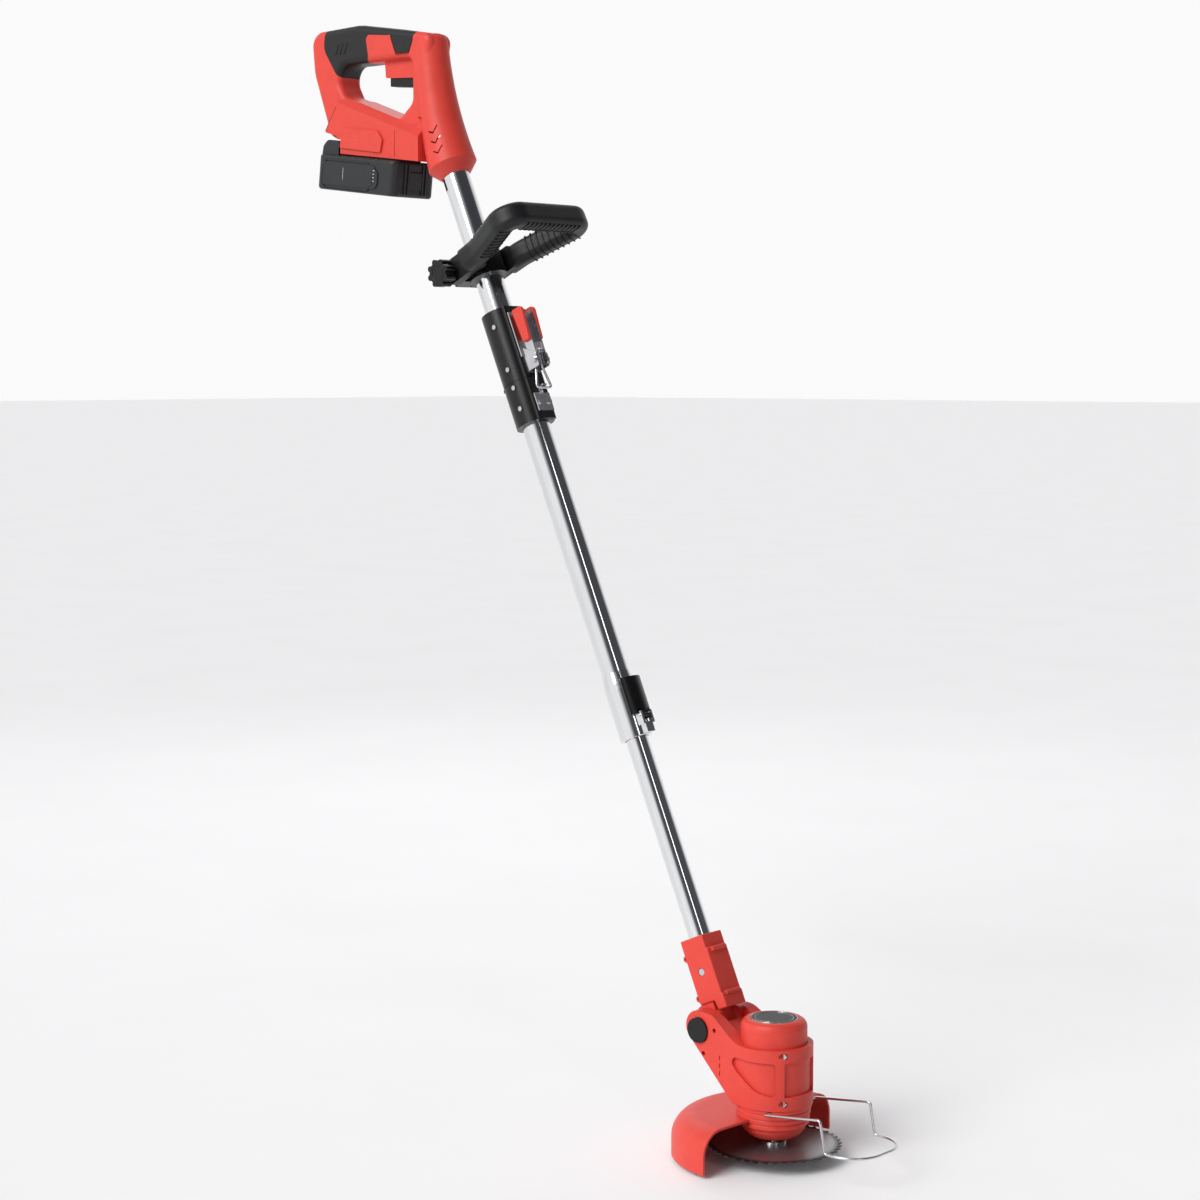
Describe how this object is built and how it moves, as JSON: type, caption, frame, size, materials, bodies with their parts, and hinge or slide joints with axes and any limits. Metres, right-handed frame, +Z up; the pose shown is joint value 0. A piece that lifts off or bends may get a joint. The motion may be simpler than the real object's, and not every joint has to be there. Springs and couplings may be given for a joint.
{
  "type": "string trimmer",
  "caption": "Battery pole trimmer with a spinning cutting disc, tilting motor head, telescoping and folding pole, loop handle and rear trigger grip.",
  "frame": {"origin": "centre of the lower end of the vertical spindle, under the cutting disc", "axes": "+Z up along the spindle, +X forward away from the user, +Y to the user's left"},
  "size_m": [0.8742, 0.2236, 1.2778],
  "materials": {
    "red_plastic": "satin injection-moulded plastic",
    "black_plastic": "fine-grained moulded plastic",
    "grey_plastic": "fine-grained moulded plastic",
    "soft_grip": "soft-touch over-moulded rubber",
    "polished_tube": "polished, drawn along the tube",
    "bright_steel": "bright zinc-plated steel",
    "blade_steel": "ground steel with dark tooth tips",
    "label_black": "glossy blank label",
    "copper_motor": "motor can",
    "cell_wrap": "shrink-wrapped cells",
    "contact_brass": "plated contacts"
  },
  "bodies": {
    "rear_unit": {"handle_housing_left": "red_plastic", "handle_housing_right": "red_plastic", "grip_overmould": "soft_grip", "handle_screws": "bright_steel", "switch_body": "black_plastic", "trigger_pin": "bright_steel", "trigger_spring": "bright_steel", "battery_terminals": "contact_brass", "upper_tube": "polished_tube", "fold_sleeve_upper": "black_plastic", "fold_pin": "bright_steel", "sleeve_screws_upper": "bright_steel", "latch_base": "bright_steel", "latch_rivets": "bright_steel"},
    "trigger": {"trigger": "black_plastic"},
    "lock_off": {"lock_off_button": "soft_grip"},
    "battery": {"battery_case": "grey_plastic", "battery_cover": "grey_plastic", "battery_cells": "cell_wrap"},
    "battery_release": {"battery_button": "grey_plastic"},
    "loop_clamp": {"clamp_collar": "black_plastic", "clamp_bolt": "bright_steel"},
    "loop": {"loop_handle": "soft_grip"},
    "knob": {"star_knob": "black_plastic"},
    "latch_lever": {"latch_lever": "bright_steel", "latch_lever_sleeve": "red_plastic", "bail_pin": "bright_steel"},
    "bail": {"bail_wire": "bright_steel"},
    "middle": {"middle_tube": "polished_tube", "fold_sleeve_lower": "black_plastic", "sleeve_screws_lower": "bright_steel", "hook_plate": "bright_steel", "hook_screws": "bright_steel", "telescope_collar": "polished_tube", "collar_lever_pin": "bright_steel"},
    "collar_lever": {"collar_lever": "black_plastic"},
    "lower": {"lower_tube": "polished_tube", "guide_bush": "black_plastic", "adapter_left": "red_plastic", "adapter_right": "red_plastic", "adapter_screws": "bright_steel"},
    "snap_button": {"snap_button": "bright_steel"},
    "head": {"head_shell_left": "red_plastic", "head_shell_right": "red_plastic", "head_screws": "bright_steel", "motor": "copper_motor", "motor_cap": "red_plastic", "label_plate": "label_black", "tilt_pin": "bright_steel", "pivot_cap": "black_plastic", "ribbed_collar": "red_plastic", "spindle_bearing": "bright_steel", "guard": "red_plastic"},
    "tilt_button": {"tilt_button": "black_plastic"},
    "wire_guard": {"wire_guard": "bright_steel"},
    "blade": {"spindle": "bright_steel", "blade": "blade_steel", "upper_flange": "bright_steel", "lower_washer": "bright_steel", "blade_nut": "bright_steel"}
  },
  "joints": [
    {"name": "fold", "type": "hinge", "parent": "rear_unit", "child": "middle", "pos_m": [-0.39673, 0, 0.83446], "axis": [0, 1, 0], "range_deg": [0, 140]},
    {"name": "latch_flip", "type": "hinge", "parent": "rear_unit", "child": "latch_lever", "pos_m": [-0.3504, 0, 0.87151], "axis": [0, 1, 0], "range_deg": [0, 120]},
    {"name": "bail_swing", "type": "hinge", "parent": "latch_lever", "child": "bail", "pos_m": [-0.35888, 0, 0.88196], "axis": [0, 1, 0], "range_deg": [-120, 0]},
    {"name": "telescope", "type": "slide", "parent": "middle", "child": "lower", "axis": [-0.4067, 0, 0.9135], "range_m": [0, 0.18]},
    {"name": "collar_flip", "type": "hinge", "parent": "middle", "child": "collar_lever", "pos_m": [-0.18814, 0, 0.47142], "axis": [0, 1, 0], "range_deg": [0, 100]},
    {"name": "snap_press", "type": "slide", "parent": "lower", "child": "snap_button", "axis": [0, 1, 0], "range_m": [0, 0.004], "stiffness_N_per_m": 600, "springref_m": -0.004},
    {"name": "head_tilt", "type": "hinge", "parent": "lower", "child": "head", "pos_m": [-0.07902, 0, 0.13414], "axis": [0, 1, 0], "range_deg": [0, 60]},
    {"name": "tilt_press", "type": "slide", "parent": "head", "child": "tilt_button", "axis": [0, 1, 0], "range_m": [0, 0.003], "stiffness_N_per_m": 900, "springref_m": -0.004},
    {"name": "wire_flip", "type": "hinge", "parent": "head", "child": "wire_guard", "pos_m": [0.022, 0, 0.061], "axis": [0, -1, 0], "range_deg": [0, 70]},
    {"name": "blade_spin", "type": "hinge", "parent": "head", "child": "blade", "pos_m": [0, 0, 0.01], "axis": [0, 0, 1], "continuous": true},
    {"name": "trigger_pull", "type": "hinge", "parent": "rear_unit", "child": "trigger", "pos_m": [-0.53951, 0, 1.2095], "axis": [0, 1, 0], "range_deg": [0, 8], "stiffness_Nm_per_rad": 1.6, "springref_deg": -8.59, "deforming": ["trigger_spring"]},
    {"name": "lock_off_press", "type": "slide", "parent": "rear_unit", "child": "lock_off", "axis": [0, 0, -1], "range_m": [0, 0.002], "stiffness_N_per_m": 900, "springref_m": -0.003},
    {"name": "battery_slide", "type": "slide", "parent": "rear_unit", "child": "battery", "axis": [-0.9925, 0, 0.1219], "range_m": [0, 0.12]},
    {"name": "battery_release_press", "type": "slide", "parent": "battery", "child": "battery_release", "axis": [-0.9925, 0, 0.1219], "range_m": [0, 0.003], "stiffness_N_per_m": 900, "springref_m": -0.004},
    {"name": "clamp_slide", "type": "slide", "parent": "rear_unit", "child": "loop_clamp", "axis": [-0.4067, 0, 0.9135], "range_m": [-0.01, 0.05]},
    {"name": "loop_tilt", "type": "hinge", "parent": "loop_clamp", "child": "loop", "pos_m": [-0.46362, 0, 0.97216], "axis": [0, -1, 0], "range_deg": [-20, 45]},
    {"name": "knob_turn", "type": "hinge", "parent": "loop_clamp", "child": "knob", "pos_m": [-0.46362, -0.045, 0.97216], "axis": [0, 1, 0], "range_deg": [0, 360]}
  ],
  "couplings": [
    {"joint": "bail_swing", "follows": "latch_flip", "ratio": -1}
  ]
}
